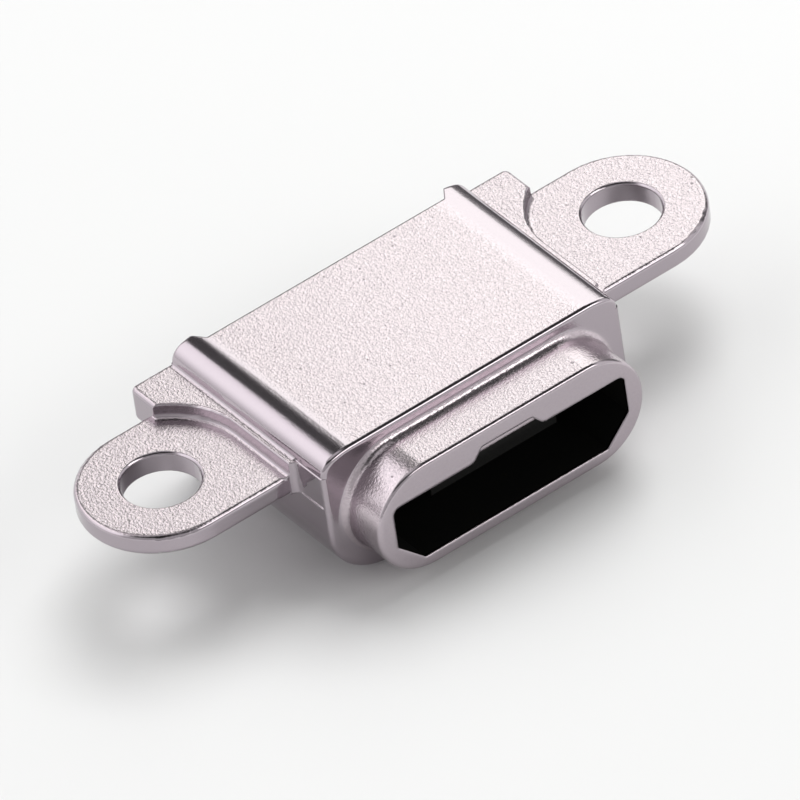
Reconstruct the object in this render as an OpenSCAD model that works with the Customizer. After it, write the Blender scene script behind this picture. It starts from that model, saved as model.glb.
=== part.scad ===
// Charging port connector: a moulded metal shell with two screw ears and an oval nose,
// a black insulator that lines the mouth and carries a tongue, and five stamped contacts.
// Millimetres. X runs from ear to ear, the mouth faces -Y, Z is up.
// The origin is on the under side of the ears, midway between the two screw holes.

/* [Ears] */
// Distance between the two screw hole axes
hole_pitch = 13.8; // [13.5:0.1:15]
// Diameter of each screw hole
hole_d = 1.95; // [1.6:0.05:2.3]
// Radius of the round end of an ear, about the hole axis
ear_r = 2.08; // [1.8:0.02:2.2]
// Thickness of an ear
ear_t = 0.56; // [0.4:0.02:0.7]
// Chamfer at the rim of each screw hole
hole_chamfer = 0.05; // [0.02:0.01:0.1]

/* [Ledge] */
// Radius of the screw head clearance, about the hole axis
head_r = 2.28; // [2.22:0.02:2.36]
// Width across both ledges at the rear
ledge_w = 11.3; // [10.8:0.1:11.8]
// Height of the ledge over the ear
ledge_rise = 0.38; // [0.2:0.02:0.6]
// Radius of the rear corners of the ledge
ledge_corner_r = 0.18; // [0.16:0.02:0.3]
// Cove at the foot of the step round the screw head
step_cove_r = 0.12; // [0.06:0.01:0.16]
// Rounding of the upper edge of that step
step_edge_r = 0.05; // [0.03:0.01:0.07]
// Cove along the foot of the upper side wall
wall_cove_r = 0.12; // [0.06:0.01:0.14]
// Upright cove between the ear front and the body side
ear_cove_r = 0.24; // [0.1:0.02:0.4]

/* [Body] */
// Width of the upper part of the body, over the ledges
body_w = 8.82; // [8.6:0.02:8.9]
// How far each side stands out under the ledge top
shoulder_w = 0.03; // [0.02:0.01:0.08]
// Radius of the bead along the parting line
bead_r = 0.03; // [0.02:0.005:0.04]
// Height of the top face over the ear under sides
body_top = 1.46; // [1.4:0.02:2]
// Depth of the bottom face under the ear under sides
body_bottom = 2.44; // [2.4:0.02:3]
// Distance from the hole axes forward to the front face
body_front = 3.17; // [2.8:0.05:3.4]
// Distance from the hole axes back to the rear face
body_rear = 2.84; // [2.6:0.05:3.4]
// Radius along the top side edges where they leave the plate
crown_r = 1.8; // [1.5:0.05:2]
// Angle over which that radius runs
crown_turn = 18; // [14:1:22]
// Smaller radius where those edges turn down into the sides
side_r = 0.44; // [0.4:0.01:0.46]
// Radius along the bottom side edges
bottom_corner_r = 1.6; // [1.2:0.05:1.8]
// Rounding of the outer edges
edge_r = 0.12; // [0.06:0.01:0.14]

/* [Rear relief] */
// How far the top plate stops short of the rear face
relief_d = 0.41; // [0.2:0.01:0.6]
// Width of the relief along the plate
relief_w = 7.1; // [6.4:0.1:7.2]
// Slant of each end of the relief, across
relief_slant = 0.28; // [0.1:0.02:0.3]

/* [Nose] */
// Width of the oval nose
nose_w = 7.88; // [7.7:0.02:7.9]
// Height of the oval nose
nose_h = 3.02; // [2.9:0.02:3.1]
// Height of the nose centre over the ear under sides
nose_z = -0.48; // [-0.55:0.01:-0.45]
// Length of the nose in front of the body
nose_l = 1.33; // [1:0.05:1.8]
// Fillet round the root of the nose
root_r = 0.22; // [0.1:0.01:0.26]
// Rounding of the front rim
rim_r = 0.1; // [0.04:0.01:0.12]

/* [Mouth] */
// Width of the mouth
mouth_w = 6.9; // [6.8:0.02:7]
// Height of the mouth
mouth_h = 1.88; // [1.8:0.02:1.92]
// Height of the mouth floor over the ear under sides
mouth_z = -1.65; // [-1.68:0.01:-1.62]
// Size of the two lower corner chamfers
mouth_chamfer = 0.72; // [0.5:0.02:0.9]
// Radius of the two upper corners
mouth_r = 0.2; // [0.1:0.02:0.3]
// Depth of the metal lip round the mouth
lip_d = 0.09; // [0.08:0.01:0.2]
// Width of the notch in the top lip, at the mouth
notch_w = 2.06; // [1.8:0.02:2.4]
// Width of the notch at its top
notch_top_w = 1.5; // [1.2:0.02:1.7]
// Height of the notch over the mouth
notch_h = 0.33; // [0.2:0.01:0.4]
// Rounding where the notch flanks meet the mouth
notch_r = 0.25; // [0.1:0.01:0.3]

/* [Insulator] */
// Thickness of the lining round the mouth
lining_t = 0.14; // [0.1:0.01:0.16]
// Depth of the open mouth behind the lip
cavity_d = 4.7; // [4.2:0.1:5]
// How far the insulator lies inside the rear face
rear_inset = 0.2; // [0.1:0.02:0.5]
// Width of the tongue
tongue_w = 3.74; // [3.6:0.02:3.9]
// Thickness of the tongue
tongue_t = 0.62; // [0.5:0.02:0.7]
// Room between the tongue and the mouth ceiling
tongue_gap = 0.45; // [0.4:0.01:0.5]
// How far the tongue tip lies behind the mouth
tongue_inset = 0.74; // [0.5:0.02:1.2]
// Chamfer on the tongue tip
tongue_chamfer = 0.12; // [0.06:0.02:0.16]
// Width of each latch pocket in the ceiling
latch_w = 0.8; // [0.6:0.05:1]
// Length of each latch pocket
latch_l = 0.9; // [0.6:0.05:1.2]
// Depth of each latch pocket over the mouth ceiling
latch_h = 0.4; // [0.3:0.02:0.45]
// Distance between the latch pocket centres
latch_pitch = 4.6; // [4.4:0.1:5]
// Distance from the mouth back to the latch pockets
latch_y = 2; // [1.6:0.1:2.6]
// Clearance round pieces that fit into each other
fit = 0.01; // [0.005:0.005:0.02]

/* [Contacts] */
// Distance between neighbouring contacts
pitch = 0.65; // [0.6:0.01:0.68]
// Width of a contact strip
contact_w = 0.37; // [0.3:0.01:0.4]
// Thickness of a contact strip
contact_t = 0.12; // [0.08:0.01:0.15]
// Inside radius of the contact bends
bend_r = 0.12; // [0.08:0.01:0.15]
// Distance from the tongue tip to the two long contacts
long_tip = 0.3; // [0.2:0.02:0.6]
// How much further back the three short contacts start
short_setback = 0.35; // [0.2:0.05:0.6]
// Distance from the mouth back to the upright run of a contact
upright_y = 5.6; // [5.4:0.1:6]
// Length of a solder tail behind the rear face
tail_l = 0.8; // [0.5:0.05:1]

/* [Hidden] */
$fn = 64;
over = 0.5;
mouth_y = -body_front - nose_l;
ledge_top = ear_t + ledge_rise;
ledge_front_w = hole_pitch - 2 * head_r;
lower_w = body_w + 2 * shoulder_w;
chamfer_gain = 1 - tan(22.5);
side_x = body_w / 2 - side_r;
crown_x = side_x - (crown_r - side_r) * sin(crown_turn);
crown_z = body_top - crown_r;
side_z = crown_z + (crown_r - side_r) * cos(crown_turn);
wall_cove_z = ledge_top + wall_cove_r;
wall_cove_x = side_x + sqrt(pow(side_r + wall_cove_r, 2) - pow(wall_cove_z - side_z, 2));
mouth_top = mouth_z + mouth_h;
tongue_top = mouth_top - tongue_gap;
tongue_bottom = tongue_top - tongue_t;
tongue_tip = mouth_y + tongue_inset;
cavity_end = mouth_y + lip_d + cavity_d;
insulator_rear = body_rear - rear_inset;
metal = [0.78, 0.75, 0.75];
black = [0.07, 0.07, 0.07];
gold = [0.85, 0.68, 0.32];

// Extrudes an XZ outline along Y
module along_y(y0, y1) {
    translate([0, y1, 0]) rotate([90, 0, 0]) linear_extrude(y1 - y0) children();
}

// Extrudes a YZ outline along X, equally to both sides or from the middle plane to one
module along_x(w, both = true) {
    rotate([90, 0, 90]) linear_extrude(w, center = both) children();
}

// Revolves an outline in radius and depth about an axis along Y
module about_y(x, z) {
    translate([x, 0, z]) rotate([-90, 0, 0]) rotate_extrude() children();
}

// Rectangle from corner a to corner b with rounded corners
module soft_rect(a, b, r) {
    translate([a.x + r, a.y]) square([b.x - a.x - 2 * r, b.y - a.y]);
    translate([a.x, a.y + r]) square([b.x - a.x, b.y - a.y - 2 * r]);
    for (x = [a.x + r, b.x - r])
        for (y = [a.y + r, b.y - r])
            translate([x, y]) circle(r);
}

// Half outline of a round bar from y0 to y1: radius first, then depth
module pill_outline(r, y0, y1, e) {
    intersection() {
        soft_rect([-r, y0], [r, y1], e);
        translate([0, y0]) square([r, y1 - y0]);
    }
}

// Sector of a round bar along the body, between two angles from straight up
module bar_sector(x, z, r, from, to) {
    intersection() {
        about_y(x, z) pill_outline(r, -body_front, body_rear, edge_r);
        along_y(-body_front - over, body_rear + over) translate([x, z])
            polygon([[0, 0], for (a = [from, (from + to) / 2, to]) 2 * r * [sin(a), cos(a)]]);
    }
}

// Upper part of the body: flat plate whose side edges turn down in two radii
module upper_body() {
    for (flip = [0, 1])
        mirror([flip, 0, 0]) {
            bar_sector(crown_x, crown_z, crown_r, 0, crown_turn);
            bar_sector(side_x, side_z, side_r, crown_turn, 90);
            along_x(crown_x, both = false) soft_rect([-body_front, 0], [body_rear, body_top], edge_r);
        }
    linear_extrude(side_z) soft_rect([-body_w / 2, -body_front], [body_w / 2, body_rear], edge_r);
}

// Lower part of the body, up to the ledges, with large bottom corners
module lower_body() {
    axis_x = lower_w / 2 - bottom_corner_r;
    axis_z = bottom_corner_r - body_bottom;
    for (x = [-axis_x, axis_x])
        about_y(x, axis_z) pill_outline(bottom_corner_r, -body_front, body_rear, edge_r);
    along_x(2 * axis_x) soft_rect([-body_front, -body_bottom], [body_rear, ledge_top], edge_r);
    translate([0, 0, axis_z]) linear_extrude(ledge_top - axis_z)
        soft_rect([-lower_w / 2, -body_front], [lower_w / 2, body_rear], edge_r);
}

// Ear plate with a round outer end, reaching in to the middle of the body
module ear(side) {
    x = side * hole_pitch / 2;
    translate([x, 0, 0]) rotate_extrude() pill_outline(ear_r, 0, ear_t, edge_r);
    translate([x / 2, 0, 0]) along_x(hole_pitch / 2) soft_rect([-ear_r, 0], [ear_r, ear_t], edge_r);
}

// Concave fillet of radius r in the corner at the origin, sunk into both walls
module cove(r) {
    difference() {
        translate([-r, -r]) square(2 * r);
        translate([r, r]) circle(r);
    }
}

// Upright slab from corner a to corner b with round corners in plan and soft rims
module soft_slab(a, b, corner_r) {
    for (x = [a.x + corner_r, b.x - corner_r])
        for (y = [a.y + corner_r, b.y - corner_r])
            translate([x, y, 0]) rotate_extrude() pill_outline(corner_r, a.z, b.z, edge_r);
    translate([(a.x + b.x) / 2, 0, 0]) along_x(b.x - a.x - 2 * corner_r)
        soft_rect([a.y, a.z], [b.y, b.z], edge_r);
    along_y(a.y + corner_r, b.y - corner_r)
        soft_rect([a.x, a.z], [b.x, b.z], edge_r);
}

// Side outline of the room over an ear: cove at the foot, flare over the rounded upper edge
module head_outline() {
    high = ledge_rise + over;
    wide = head_r + step_edge_r;
    soft_rect([-head_r, 0], [head_r, high], step_cove_r);
    difference() {
        translate([-wide, ledge_rise - step_edge_r]) square([2 * wide, over]);
        for (x = [-wide, wide])
            translate([x, ledge_rise - step_edge_r]) circle(step_edge_r);
    }
}

// Room for a screw head over an ear, open to the front
module head_room(side) {
    translate([side * hole_pitch / 2, 0, ear_t]) {
        rotate_extrude() intersection() {
            head_outline();
            square([head_r + over, ledge_rise + over]);
        }
        rotate([90, 0, 0]) linear_extrude(ear_r + over) head_outline();
    }
}

// Section of the cove that leads from the side radius out onto the ledge
module wall_cove() {
    low = ledge_top - wall_cove_r;
    difference() {
        polygon([[side_x, side_z], [wall_cove_x, wall_cove_z], [wall_cove_x, low], [side_x, low]]);
        translate([wall_cove_x, wall_cove_z]) circle(wall_cove_r);
    }
}

// Ledges over the ears: a rear block with round corners, a strip beside each screw head,
// a cove along the body and an upright cove where the ear front meets the body side
module ledges() {
    strip_w = ledge_front_w + 2 * (step_cove_r + edge_r);
    difference() {
        union() {
            soft_slab([-ledge_w / 2, 0, 0], [ledge_w / 2, body_rear, ledge_top], ledge_corner_r);
            soft_slab([-strip_w / 2, -ear_r, 0], [strip_w / 2, ear_r, ledge_top], ledge_corner_r);
            for (flip = [0, 1])
                mirror([flip, 0, 0]) {
                    along_y(-ear_r, body_rear - edge_r) wall_cove();
                    linear_extrude(ledge_top)
                        translate([lower_w / 2, -ear_r]) mirror([0, 1]) cove(ear_cove_r);
                }
        }
        for (side = [-1, 1])
            head_room(side);
    }
}

// Bead along the parting line of each side
module parting_beads() {
    for (x = [-lower_w / 2, lower_w / 2])
        along_y(-body_front + edge_r, body_rear - edge_r) translate([x, 0]) circle(bead_r);
}

// Radius and depth outline of the nose end, with its rounded rim and root fillet
module nose_outline(r) {
    pill_outline(r, mouth_y, -body_front + over, rim_r);
    difference() {
        translate([0, -body_front - root_r]) square([r + root_r, root_r + over]);
        translate([r + root_r, -body_front - root_r]) circle(root_r);
    }
}

// Oval nose with its root fillet
module nose() {
    r = nose_h / 2;
    axis_x = nose_w / 2 - r;
    for (x = [-axis_x, axis_x])
        about_y(x, nose_z) nose_outline(r);
    translate([0, 0, nose_z]) along_x(2 * axis_x)
        for (flip = [0, 1])
            mirror([0, flip]) rotate(90) mirror([0, 1]) nose_outline(r);
}

// Mouth outline, grown evenly by g: wide at the top, chamfered at the bottom
module mouth_outline(g = 0) {
    half = mouth_w / 2 + g;
    low = mouth_z - g;
    top = mouth_top + g;
    r = mouth_r + g;
    c = mouth_chamfer + g * chamfer_gain;
    polygon([[-half + c, low], [half - c, low], [half, low + c], [half, top - r],
             [half - r, top - r], [half - r, top], [-half + r, top], [-half + r, top - r],
             [-half, top - r], [-half, low + c]]);
    for (x = [-half + r, half - r])
        translate([x, top - r]) circle(r);
}

// Notch outline over the mouth
module notch_outline() {
    foot = mouth_top - mouth_r;
    top = mouth_top + notch_h;
    slope = atan2(notch_h, (notch_w - notch_top_w) / 2);
    reach = notch_r * tan(slope / 2);
    start = [notch_w / 2 + reach, mouth_top];
    end = [notch_w / 2 - reach * cos(slope), mouth_top + reach * sin(slope)];
    polygon([[-notch_w / 2, foot], [notch_w / 2, foot], [notch_w / 2, mouth_top], [notch_top_w / 2, top],
             [-notch_top_w / 2, top], [-notch_w / 2, mouth_top]]);
    for (flip = [0, 1])
        mirror([flip, 0]) difference() {
            polygon([end, [end.x, foot], [start.x, foot], start]);
            translate([start.x, start.y + notch_r]) circle(notch_r);
        }
}

// The two latch pockets in the mouth ceiling
module latch_pockets() {
    for (x = [-latch_pitch / 2, latch_pitch / 2])
        translate([x - latch_w / 2, mouth_y + latch_y, mouth_top - lining_t])
            cube([latch_w, latch_l, latch_h + lining_t]);
}

// Relief across the rear of the top plate, with slanted ends
module rear_relief() {
    narrow = relief_w / 2;
    wide = narrow + relief_slant;
    front = body_rear - relief_d;
    behind = body_rear + over;
    translate([0, 0, ledge_top]) linear_extrude(body_top - ledge_top + over)
        polygon([[-narrow, front], [narrow, front], [wide, body_rear], [wide, behind], [-wide, behind],
                 [-wide, body_rear]]);
}

module shell() {
    color(metal) difference() {
        union() {
            upper_body();
            lower_body();
            for (side = [-1, 1])
                ear(side);
            ledges();
            parting_beads();
            nose();
        }
        for (side = [-1, 1])
            translate([side * hole_pitch / 2, 0, 0]) {
                translate([0, 0, -over]) cylinder(d = hole_d, h = ear_t + 2 * over);
                translate([0, 0, ear_t - hole_chamfer])
                    cylinder(d1 = hole_d, d2 = hole_d + 2 * hole_chamfer, h = hole_chamfer);
            }
        along_y(mouth_y - over, mouth_y + lip_d) {
            mouth_outline();
            notch_outline();
        }
        along_y(mouth_y + lip_d, body_rear + over) mouth_outline(lining_t);
        latch_pockets();
        rear_relief();
    }
}

// Side outline of a contact strip: tongue run, bend, upright run, bend, tail
module contact_outline(tip, t, g = 0) {
    low = tongue_bottom;
    y = mouth_y + upright_y;
    turn = bend_r + t;
    translate([tip - g, low - g]) square([y - turn - tip + g, t + 2 * g]);
    translate([y - turn, low + turn]) bend(180, g);
    translate([y - t - g, low + turn]) square([t + 2 * g, -low - 2 * turn + t]);
    translate([y + bend_r, t - turn]) bend(0, g);
    translate([y + bend_r, -g]) square([body_rear + tail_l - y - bend_r + g, t + 2 * g]);
}

// Quarter of a bent strip about its bend centre
module bend(turned, g) {
    rotate(turned + 90) difference() {
        intersection() {
            circle(bend_r + contact_t + g);
            square(bend_r + contact_t + g);
        }
        circle(bend_r - g);
    }
}

// One contact strip at place i, grown evenly by g
module contact(i, g = 0) {
    tip = tongue_tip + long_tip + (abs(i) < 2 ? short_setback : 0);
    translate([i * pitch, 0, 0]) along_x(contact_w + 2 * g) contact_outline(tip, contact_t, g);
}

// Side outline of the tongue, with its chamfered tip
module tongue_outline() {
    root = cavity_end + fit;
    shoulder = tongue_tip + tongue_chamfer;
    polygon([[shoulder, tongue_bottom], [root, tongue_bottom], [root, tongue_top], [shoulder, tongue_top],
             [tongue_tip, tongue_top - tongue_chamfer], [tongue_tip, tongue_bottom + tongue_chamfer]]);
}

module insulator() {
    color(black) difference() {
        union() {
            difference() {
                along_y(mouth_y + lip_d + fit, insulator_rear) mouth_outline(lining_t - fit);
                along_y(mouth_y, cavity_end) mouth_outline();
            }
            along_x(tongue_w) tongue_outline();
        }
        for (i = [-2 : 2])
            contact(i, fit);
        latch_pockets();
    }
}

module contact_power() { color(gold) contact(-2); }
module contact_data_minus() { color(gold) contact(-1); }
module contact_data_plus() { color(gold) contact(0); }
module contact_ident() { color(gold) contact(1); }
module contact_ground() { color(gold) contact(2); }

shell();
insulator();
contact_power();
contact_data_minus();
contact_data_plus();
contact_ident();
contact_ground();
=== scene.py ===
import math
import bpy
import bmesh
from mathutils import Matrix, Vector


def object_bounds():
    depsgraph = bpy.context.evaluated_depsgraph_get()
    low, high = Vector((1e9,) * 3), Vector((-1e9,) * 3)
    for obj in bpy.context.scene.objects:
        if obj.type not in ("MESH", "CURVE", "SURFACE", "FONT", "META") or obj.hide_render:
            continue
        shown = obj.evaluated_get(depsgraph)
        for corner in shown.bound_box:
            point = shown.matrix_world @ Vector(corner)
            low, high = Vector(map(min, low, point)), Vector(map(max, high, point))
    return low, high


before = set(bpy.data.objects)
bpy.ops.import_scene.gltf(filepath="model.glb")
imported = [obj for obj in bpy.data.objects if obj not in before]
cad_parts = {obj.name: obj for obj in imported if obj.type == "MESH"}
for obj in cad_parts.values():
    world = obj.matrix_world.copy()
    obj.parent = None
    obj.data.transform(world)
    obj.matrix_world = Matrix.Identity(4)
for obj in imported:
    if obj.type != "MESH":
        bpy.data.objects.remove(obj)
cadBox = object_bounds()
mm = 0.001
print("frame loaded with", len(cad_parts), "nodes")

nodeGrid = (200, 160)  # spacing of the nodes in the editor


# small helpers for building node trees
def addNode(tree, kind, place, **values):
    node = tree.nodes.new(kind)
    node.location = (place[0] * nodeGrid[0], place[1] * nodeGrid[1])
    for key, value in values.items():
        setattr(node, key, value)
    return node


# a socket takes a plain value or the output of another node
def feed(socket, value):
    if isinstance(value, bpy.types.NodeSocket):
        socket.id_data.links.new(value, socket)
    else:
        socket.default_value = value


def setInputs(node, **values):
    for key, value in values.items():
        feed(node.inputs[key.replace("_", " ")], value)


def mathNode(tree, operation, place, *values):
    node = addNode(tree, "ShaderNodeMath", place, operation=operation)
    for socket, value in zip(node.inputs, values):
        feed(socket, value)
    return node.outputs["Value"]


# one operation over several values, a node for each step
def chain(tree, operation, place, first, *others):
    for step, other in enumerate(others):
        first = mathNode(tree, operation, (place[0] + step, place[1]), first, other)
    return first


# a value's way through a span, as a mask or between two settings
def rangeNode(tree, place, value, span, result=(0.0, 1.0), curve="SMOOTHSTEP"):
    node = addNode(tree, "ShaderNodeMapRange", place, interpolation_type=curve)
    setInputs(node, Value=value, From_Min=span[0], From_Max=span[1],
              To_Min=result[0], To_Max=result[1])
    return node.outputs["Result"]


def mixNode(tree, place, kind, factor, first, second):
    node = addNode(tree, "ShaderNodeMix", place, data_type=kind)
    setInputs(node, Factor=factor, A=first, B=second)
    return node.outputs["Result"]


def splitVector(tree, place, vector):
    node = addNode(tree, "ShaderNodeSeparateXYZ", place)
    setInputs(node, Vector=vector)
    return [node.outputs[axis] for axis in "XYZ"]


def bumpNode(tree, place, height, distance):
    node = addNode(tree, "ShaderNodeBump", place)
    setInputs(node, Strength=1.0, Distance=distance, Height=height)
    return node


def clearTree(owner):
    owner.use_nodes = True
    owner.node_tree.nodes.clear()
    return owner.node_tree


def newMaterial(name, kind="ShaderNodeBsdfPrincipled"):
    material = bpy.data.materials.new(name)
    tree = clearTree(material)
    shader = addNode(tree, kind, (4, 0))
    output = addNode(tree, "ShaderNodeOutputMaterial", (6, 0))
    setInputs(output, Surface=shader.outputs["BSDF"])
    return material, shader


def newGroup(name, inputs, outputs):
    group = bpy.data.node_groups.new(name, "ShaderNodeTree")
    for way, labels in (("INPUT", inputs), ("OUTPUT", outputs)):
        for label in labels:
            group.interface.new_socket(name=label, in_out=way, socket_type="NodeSocketFloat")
    return group, addNode(group, "NodeGroupInput", (-4, 0)), addNode(group, "NodeGroupOutput", (2, 0))


def addObject(name, data):
    thing = bpy.data.objects.new(name, data)
    bpy.context.scene.collection.objects.link(thing)
    return thing


# height of a moulded grain: soft pebbles with finer grit on them
grainTexture = {
    "pebble": {"Detail": 2.0, "Roughness": 0.55, "Distortion": 0.15},
    "grit": {"Detail": 2.0, "Roughness": 0.6},
}


def makeGrainGroup():
    group, given, result = newGroup(
        "mouldedGrain", ("Pebble Size", "Grit Size", "Grit Share"), ("Height",))
    coords = addNode(group, "ShaderNodeTexCoord", (-4, 2))
    layers = []
    for row, (name, size) in enumerate((("pebble", "Pebble Size"), ("grit", "Grit Size"))):
        scale = mathNode(group, "DIVIDE", (-3, 1 - row), 1.0, given.outputs[size])
        noise = addNode(group, "ShaderNodeTexNoise", (-2, 1 - row))
        setInputs(noise, Vector=coords.outputs["Object"], Scale=scale, **grainTexture[name])
        layers.append(noise.outputs["Fac"])
    gritPart = mathNode(group, "MULTIPLY", (0, 0), layers[1], given.outputs["Grit Share"])
    setInputs(result, Height=mathNode(group, "ADD", (1, 0), layers[0], gritPart))
    return group


grainGroup = makeGrainGroup()


def grainNode(tree, place, finish):
    node = addNode(tree, "ShaderNodeGroup", place, node_tree=grainGroup)
    setInputs(node, Pebble_Size=finish["pebbleSize"], Grit_Size=finish["gritSize"],
              Grit_Share=finish["gritShare"])
    return node.outputs["Height"]


# the shell: one moulding, satin nickel tone, grained on its plate, ears and nose, smoother on its walls
# and ridges, with painted shade darkening its upright walls; a lean is how far a surface looks up, 1
# when it is level
shellFinish = {
    "frontFace": -3.17 * mm,                # where the body ends and the nose begins
    "rimFace": cadBox[0].y,                 # mouth end of the nose
    "earFace": 0.56 * mm,                   # top of the ears
    "sideWall": 4.41 * mm,                  # body's wall over an ear
    "paleTone": (0.688, 0.603, 0.646, 1.0),
    "deepTone": (0.563, 0.493, 0.53, 1.0),
    "speckle": (0.4, 0.85),                 # relief over which the deep tone turns pale
    "ridgeTone": (0.516, 0.458, 0.5, 1.0),  # where there is no grain
    "paintedShadeTilt": (0.15, 0.4),                # leans over which the painted shade of the walls ends
    # painted shade: the colour of upright walls against that of the flats
    "paintedWallShade": 0.8,
    "grainRoughness": 0.2,
    "wallRoughness": 0.1,
    "frontRoughness": 0.18,
    "coveRoughness": 0.5,
    "pebbleSize": 0.06 * mm,
    "gritSize": 0.02 * mm,
    "gritShare": 0.2,
    "grainHeight": 0.0068 * mm,             # where the share of the grain is 1
    "wallShare": 0.1,                       # least share, on walls and rounded ridges
    "plateShare": 1.0,
    "plateTilt": (0.97, 0.995),             # leans over which the plate's grain fades in
    "plateFade": (3.2 * mm, 3.72 * mm),     # distances from the middle over which it fades out
    "earShare": 1.3,
    "earTilt": (0.75, 0.95),
    "earFrom": (0.01 * mm, 0.06 * mm),      # outwards from the side wall
    "coveFrom": (0.005 * mm, 0.04 * mm),    # up from the ear face
    "coveTo": (0.13 * mm, 0.18 * mm),       # up from the ear face
    "coveSteep": (0.1, 0.3),                # leans between a wall and the cove at its foot
    "coveLevel": (0.93, 0.98),              # leans between that cove and the ear
    "noseShare": 1.25,
    "flankShare": 1.2,
    "noseTilt": (0.7, 0.97),                # leans between the nose's flanks and its top
    "noseRoot": (-0.005 * mm, -0.03 * mm),  # forward from the front face
    "frontFrom": (0.02 * mm, 0.002 * mm),   # behind the front face
    "frontTo": (-0.03 * mm, -0.13 * mm),    # forward from the front face
    "noseRim": (0.06 * mm, 0.12 * mm),      # back from the rim
    "rimShare": 0.3,
    "pitSpacing": 0.55 * mm,
    "pitReach": (0.075, 0.03),              # share of the spacing over which a casting pit sinks in
    "pitDepth": 0.9,                        # against the height of the grain
    "edgeRadius": 0.055 * mm,
    "mouthRadius": 0.11 * mm,
    "edgeSamples": 16,
}


# a span in the frame, from the form of the shell that its setting is measured from
def spanFrom(form, span):
    return [shellFinish[form] + step for step in shellFinish[span]]


# how much of the grain each region of the shell has
def shellGrainShare(tree, outward, depth, lean):
    v = shellFinish
    flat = rangeNode(tree, (-3, 5), lean, v["plateTilt"])
    inner = rangeNode(tree, (-3, 6), outward, v["plateFade"], (v["plateShare"], 0.0))
    plate = mathNode(tree, "MULTIPLY", (-2, 5), flat, inner)
    onEar = rangeNode(tree, (-3, 4), outward, spanFrom("sideWall", "earFrom"), (0.0, v["earShare"]))
    level = rangeNode(tree, (-3, 3), lean, v["earTilt"])
    ear = mathNode(tree, "MULTIPLY", (-2, 4), onEar, level)
    behindRim = rangeNode(tree, (-3, 2), depth, spanFrom("rimFace", "noseRim"), (v["rimShare"], 1.0))
    onNose = rangeNode(tree, (-3, 1), depth, spanFrom("frontFace", "noseRoot"))
    noseLevel = rangeNode(tree, (-3, 0), lean, v["noseTilt"], (v["flankShare"], v["noseShare"]))
    nose = chain(tree, "MULTIPLY", (-2, 2), behindRim, onNose, noseLevel)
    return chain(tree, "MAXIMUM", (-1, 4), plate, ear, nose, v["wallShare"])


# sparse round pits left by the casting, 1 in a pit and 0 elsewhere
def castingPits(tree, position):
    v = shellFinish
    cells = addNode(tree, "ShaderNodeTexVoronoi", (-3, -2))
    setInputs(cells, Vector=position, Scale=1 / v["pitSpacing"], Randomness=1.0)
    return rangeNode(tree, (-2, -2), cells.outputs["Distance"], v["pitReach"])


# pale on the tops of the grain, deep in its hollows, plain without grain, with painted shade darkening
# the upright walls
def shellTone(tree, relief, share, lean):
    v = shellFinish
    speckle = rangeNode(tree, (1, 2), relief, v["speckle"], curve="LINEAR")
    grained = mixNode(tree, (2, 2), "RGBA", speckle, v["deepTone"], v["paleTone"])
    skin = mixNode(tree, (3, 2), "RGBA", share, v["ridgeTone"], grained)
    # painted shade: the colour is scaled down on walls that lean away from level
    paintedShade = rangeNode(tree, (2, 3), lean, v["paintedShadeTilt"], (v["paintedWallShade"], 1.0))
    paintedShadedTone = addNode(tree, "ShaderNodeVectorMath", (3, 3), operation="SCALE")
    feed(paintedShadedTone.inputs[0], skin)
    setInputs(paintedShadedTone, Scale=paintedShade)
    return paintedShadedTone.outputs["Vector"]


# satin front face and root of the nose
def frontRoughness(tree, depth):
    v = shellFinish
    beforeNose = rangeNode(tree, (0, 2), depth, spanFrom("frontFace", "frontTo"),
                           (v["frontRoughness"], 0.0))
    onFront = rangeNode(tree, (0, 1), depth, spanFrom("frontFace", "frontFrom"))
    return mathNode(tree, "MULTIPLY", (1, 1), beforeNose, onFront)


# matt coves at the foot of the walls over the ears
def coveRoughness(tree, outward, height, lean):
    v = shellFinish
    leaning = rangeNode(tree, (0, 5), lean, v["coveSteep"])
    notLevel = rangeNode(tree, (0, 4), lean, v["coveLevel"], (1.0, 0.0))
    overEar = rangeNode(tree, (0, 7), height, spanFrom("earFace", "coveFrom"))
    underStep = rangeNode(tree, (0, 8), height, spanFrom("earFace", "coveTo"), (1.0, 0.0))
    onEar = rangeNode(tree, (0, 6), outward, spanFrom("sideWall", "earFrom"),
                      (0.0, v["coveRoughness"]))
    return chain(tree, "MULTIPLY", (1, 5), leaning, notLevel, overEar, underStep, onEar)


# sharp edges softened, more so round the mouth, with the grain on top
def shellNormal(tree, depth, raised):
    v = shellFinish
    edge = addNode(tree, "ShaderNodeBevel", (1, -2), samples=v["edgeSamples"])
    radius = rangeNode(tree, (0, -2), depth, spanFrom("rimFace", "noseRim"),
                       (v["mouthRadius"], v["edgeRadius"]))
    setInputs(edge, Radius=radius)
    bump = bumpNode(tree, (3, -1), raised, v["grainHeight"])
    setInputs(bump, Normal=edge.outputs["Normal"])
    return bump.outputs["Normal"]


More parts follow.
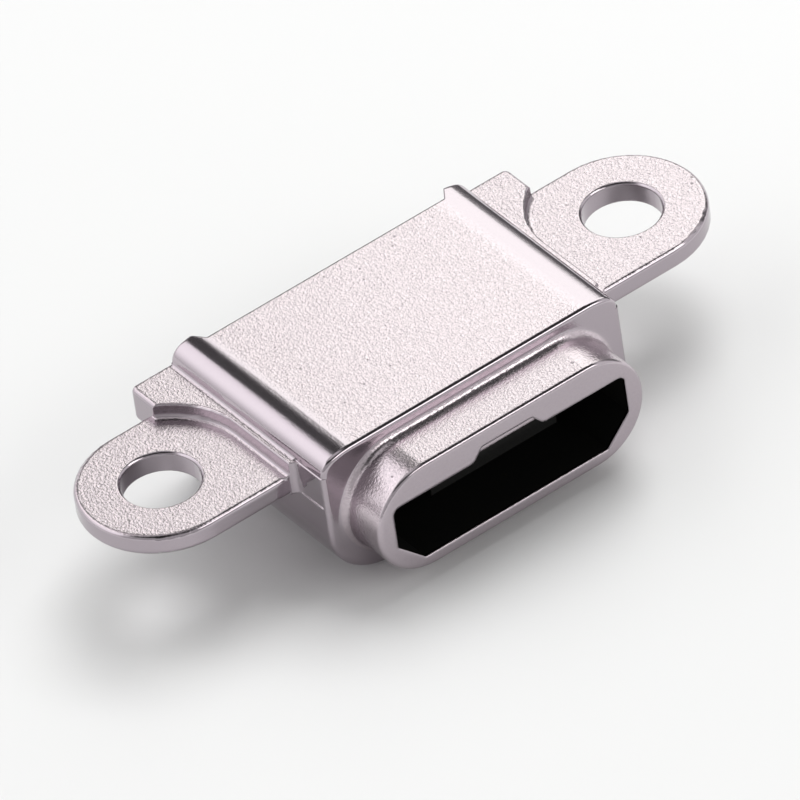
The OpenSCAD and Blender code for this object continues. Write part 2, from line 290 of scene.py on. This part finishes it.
def makeShellMetal():
    v = shellFinish
    material, shader = newMaterial("shellNickel")
    tree = material.node_tree
    coords = addNode(tree, "ShaderNodeTexCoord", (-6, 0))
    across, depth, height = splitVector(tree, (-5, 1), coords.outputs["Object"])
    lean = splitVector(tree, (-5, 0), coords.outputs["Normal"])[2]
    outward = mathNode(tree, "ABSOLUTE", (-4, 4), across)
    share = shellGrainShare(tree, outward, depth, lean)
    pits = castingPits(tree, coords.outputs["Object"])
    pitted = mathNode(tree, "MULTIPLY", (0, -1), pits, v["pitDepth"])
    relief = mathNode(tree, "SUBTRACT", (1, 0), grainNode(tree, (0, 0), v), pitted)
    raised = mathNode(tree, "MULTIPLY", (2, 0), relief, share)  # as high as each region has it
    grained = rangeNode(tree, (2, 1), share, (0.0, 1.0),
                        (v["wallRoughness"], v["grainRoughness"]), "LINEAR")
    roughness = chain(tree, "MAXIMUM", (2, 4), frontRoughness(tree, depth),
                      coveRoughness(tree, outward, height, lean), grained)
    setInputs(shader, Base_Color=shellTone(tree, relief, share, lean), Metallic=1.0,
              Roughness=roughness, Normal=shellNormal(tree, depth, raised))
    return material


# the insulator: black moulded plastic with a faint spark-eroded texture
insulatorFinish = {
    "tone": (0.004, 0.004, 0.0037, 1.0),
    "wornTone": (0.007, 0.007, 0.0066, 1.0),  # on the tops of the texture
    "roughness": 0.55,
    "specular": 0.06,
    "pebbleSize": 0.06 * mm,
    "gritSize": 0.02 * mm,
    "gritShare": 0.5,
    "grainHeight": 0.003 * mm,
}


def makeInsulatorPlastic():
    v = insulatorFinish
    material, shader = newMaterial("insulatorPlastic")
    tree = material.node_tree
    grain = grainNode(tree, (0, 0), v)
    tone = mixNode(tree, (2, 2), "RGBA", grain, v["tone"], v["wornTone"])
    bump = bumpNode(tree, (2, -1), grain, v["grainHeight"])
    setInputs(shader, Base_Color=tone, Normal=bump.outputs["Normal"],
              Roughness=v["roughness"], Specular_IOR_Level=v["specular"])
    return material


# the contacts: gold flash over rolled strip, with fine lines along the strip
contactFinish = {
    "tone": (0.83, 0.62, 0.27, 1.0),
    "dullTone": (0.66, 0.47, 0.2, 1.0),
    "roughness": 0.24,
    "lineSize": 0.02 * mm,
    "lineStretch": 20.0,          # length of a line against its width
    "lineDetail": 3.0,
    "lineHeight": 0.0008 * mm,
}


def makeContactGold():
    v = contactFinish
    material, shader = newMaterial("contactGold")
    tree = material.node_tree
    coords = addNode(tree, "ShaderNodeTexCoord", (-2, 0))
    across = 1 / v["lineSize"]
    along = across / v["lineStretch"]
    stretch = addNode(tree, "ShaderNodeMapping", (-1, 0))
    setInputs(stretch, Vector=coords.outputs["Object"], Scale=(across, along, along))
    lines = addNode(tree, "ShaderNodeTexNoise", (0, 0))
    setInputs(lines, Vector=stretch.outputs["Vector"], Scale=1.0, Detail=v["lineDetail"])
    tone = mixNode(tree, (2, 2), "RGBA", lines.outputs["Fac"], v["dullTone"], v["tone"])
    bump = bumpNode(tree, (2, -1), lines.outputs["Fac"], v["lineHeight"])
    setInputs(shader, Base_Color=tone, Normal=bump.outputs["Normal"],
              Metallic=1.0, Roughness=v["roughness"])
    return material


def dress(name, material):
    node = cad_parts[name]
    node.material_slots[0].material = material


dress("shell", makeShellMetal())
dress("insulator", makeInsulatorPlastic())
goldMaterial = makeContactGold()
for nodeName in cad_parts:
    if nodeName.startswith("contact_"):
        dress(nodeName, goldMaterial)
print("pieces dressed")

# camera at the photograph's angle, turned a little about its own axis; degrees and millimetres
cameraPlace = {
    "azimuth": -31.705,
    "elevation": 40.136,
    "roll": 8.702,
    "aim": (0.0, -0.5, 0.96),
    "aimRight": -0.0653,        # shift of the view to the right and up
    "aimUp": -1.3926,
    "distance": 650.0,
    "lensPerDistance": 1.9056,
    "sensor": 36.0,
}


def makeCamera():
    v = cameraPlace
    az, el, roll = (math.radians(v[key]) for key in ("azimuth", "elevation", "roll"))
    flatRight = Vector((math.cos(az), math.sin(az), 0))
    steepUp = Vector((-math.sin(az) * math.sin(el), math.cos(az) * math.sin(el), math.cos(el)))
    back = flatRight.cross(steepUp)
    right = math.cos(roll) * flatRight - math.sin(roll) * steepUp
    up = math.sin(roll) * flatRight + math.cos(roll) * steepUp
    aim = Vector(v["aim"]) + v["aimRight"] * right + v["aimUp"] * up
    place = (aim + v["distance"] * back) * mm
    camera = addObject("photoCamera", bpy.data.cameras.new("photoCamera"))
    camera.data.sensor_width = v["sensor"]
    camera.data.lens = v["lensPerDistance"] * v["distance"]
    turn = Matrix((right, up, back)).transposed().to_4x4()
    camera.matrix_world = Matrix.Translation(place) @ turn
    bpy.context.scene.camera = camera


makeCamera()
print("camera placed")

# pale floor under the body, its side in metres
floorSetup = {"size": 3.0, "tone": (0.8, 0.8, 0.8, 1.0)}


def makeFloor():
    v = floorSetup
    mesh = bpy.data.meshes.new("floor")
    bm = bmesh.new()
    bmesh.ops.create_grid(bm, x_segments=1, y_segments=1, size=v["size"] / 2)
    bmesh.ops.translate(bm, verts=bm.verts, vec=(0, 0, cadBox[0].z))
    bm.to_mesh(mesh)
    bm.free()
    floor = addObject("floor", mesh)
    material, matte = newMaterial("paleFloor", "ShaderNodeBsdfDiffuse")
    setInputs(matte, Color=v["tone"])
    mesh.materials.append(material)


makeFloor()

# soft boxes: direction from the object, distance and sides in metres, brightness of the panel,
# and whether the metal shows it
softBoxes = {
    "keyBox": {"toward": (0.5636, 0.5607, 0.6067), "distance": 0.3, "size": (0.1564, 0.1568),
               "glow": 1.76, "tone": (0.97, 1.0, 0.95), "mirrored": True},
    "frontBox": {"toward": (0.38, -0.72, 0.58), "distance": 0.3, "size": (0.2, 0.08),
                 "glow": 2.4, "tone": (1.0, 1.0, 0.97), "mirrored": True},
    "floorBox": {"toward": (0.43, 0.25, 0.866), "distance": 0.4, "size": (0.26, 0.26),
                 "glow": 5.0, "tone": (1.0, 1.0, 1.0), "mirrored": False},
}


def makeLights():
    for name, v in softBoxes.items():
        lamp = bpy.data.lights.new(name, "AREA")
        lamp.shape = "RECTANGLE"
        lamp.size, lamp.size_y = v["size"]
        lamp.color = v["tone"]
        lamp.energy = v["glow"] * math.pi * v["size"][0] * v["size"][1]
        box = addObject(name, lamp)
        box.visible_glossy = v["mirrored"]
        toward = Vector(v["toward"]).normalized()
        box.location = toward * v["distance"]
        box.rotation_euler = toward.to_track_quat("Z", "Y").to_euler()


# tent walls: bright round the horizon and below it, with a taller bright wall back left, a dimmer
# side toward the viewer, a dim opening behind on the right, a dim card high behind, and a ceiling
# with dark cards on the right and over the viewer's side
# heights and reaches are parts of a ray's unit length, headings are degrees from +Y toward +X
tentWalls = {
    "low": 1.0,                         # walls round the horizon, and all that is below it
    "edge": (0.66, 0.74),               # heights between the walls and the ceiling
    "ceiling": (0.8, 0.065),            # level on the left, and of the card on the right
    "ceilingCard": (0.15, 0.28),        # the card's soft edge, left to right
    "frontTop": (0.1, 0.3),             # soft edge of the card over the viewer's side
    "frontTopLevel": 0.05,
    "viewerAt": 212.0,
    "viewerReach": (0.2, 0.75),
    "viewerLevel": 0.6,
    "openAt": 47.0,
    "openReach": (0.6, 0.8),
    "openLevel": 0.2,
    "rearCard": (0.203, 0.664, 0.719),  # direction of its middle
    "rearReach": (0.962, 0.98),
    "rearLevel": 0.11,
    "leftFrom": 7.0,                    # heading from which the bright wall runs to the left
    "leftEdge": (-0.01, 0.03),
    "leftBack": (-0.1, 0.2),            # where it ends toward the front
    "leftTop": (0.86, 0.78),            # heights over which it ends
    "leftRise": (0.0, 0.7),             # heights over which it brightens
    "leftLevel": (1.04, 2.0),
    "belowEdge": (-0.03, 0.0),          # soft edge at the horizon
}


def heading(degrees):
    angle = math.radians(degrees)
    return (math.sin(angle), math.cos(angle), 0.0)


# how far a ray points toward a direction
def towardNode(tree, place, ray, direction):
    node = addNode(tree, "ShaderNodeVectorMath", place, operation="DOT_PRODUCT")
    feed(node.inputs[0], ray)
    feed(node.inputs[1], direction)
    return node.outputs["Value"]


# walls and ceiling, dimmer on the viewer's side
def tentShell(tree, ray, right, height):
    v = tentWalls
    viewerSide = towardNode(tree, (-5, 5), ray, heading(v["viewerAt"]))
    viewer = rangeNode(tree, (-4, 5), viewerSide, v["viewerReach"])
    walls = mixNode(tree, (-3, 5), "FLOAT", viewer, v["low"], v["viewerLevel"])
    ceiling = rangeNode(tree, (-4, 6), right, v["ceilingCard"], v["ceiling"])
    frontTop = rangeNode(tree, (-4, 8), viewerSide, v["frontTop"])
    ceiling = mixNode(tree, (-3, 6), "FLOAT", frontTop, ceiling, v["frontTopLevel"])
    overhead = rangeNode(tree, (-4, 7), height, v["edge"])
    return mixNode(tree, (-2, 6), "FLOAT", overhead, walls, ceiling)


# where the bright wall back left stands, and its level
def leftWall(tree, ray, away, height):
    v = tentWalls
    leftward = towardNode(tree, (-5, 2), ray, heading(v["leftFrom"] - 90))  # a quarter turn to the left
    leftSide = rangeNode(tree, (-4, 2), leftward, v["leftEdge"])
    leftBack = rangeNode(tree, (-4, 1), away, v["leftBack"])
    leftTop = rangeNode(tree, (-4, 0), height, v["leftTop"])
    mask = chain(tree, "MULTIPLY", (-3, 2), leftSide, leftBack, leftTop)
    return mask, rangeNode(tree, (-4, -1), height, v["leftRise"], v["leftLevel"])


def makeWorld():
    v = tentWalls
    world = bpy.data.worlds.new("tent")
    tree = clearTree(world)
    ray = addNode(tree, "ShaderNodeTexCoord", (-6, 0)).outputs["Generated"]
    right, away, height = splitVector(tree, (-5, 0), ray)
    level = tentShell(tree, ray, right, height)
    openSide = towardNode(tree, (-5, 4), ray, heading(v["openAt"]))
    opening = rangeNode(tree, (-4, 4), openSide, v["openReach"])
    level = mixNode(tree, (-2, 4), "FLOAT", opening, level, v["openLevel"])
    rearSide = towardNode(tree, (-5, 3), ray, v["rearCard"])
    rearCard = rangeNode(tree, (-4, 3), rearSide, v["rearReach"])
    level = mixNode(tree, (-1, 3), "FLOAT", rearCard, level, v["rearLevel"])
    leftMask, leftLevel = leftWall(tree, ray, away, height)
    level = mixNode(tree, (-1, 0), "FLOAT", leftMask, level, leftLevel)
    below = rangeNode(tree, (-4, -2), height, v["belowEdge"], (1.0, 0.0))
    level = mixNode(tree, (-1, -1), "FLOAT", below, level, v["low"])
    sky = addNode(tree, "ShaderNodeBackground", (0, 0))
    output = addNode(tree, "ShaderNodeOutputWorld", (1, 0))
    setInputs(sky, Strength=level)
    setInputs(output, Surface=sky.outputs["Background"])
    bpy.context.scene.world = world


makeLights()
makeWorld()
bpy.context.scene.view_settings.view_transform = "Standard"
print("floor, lights and tent set")
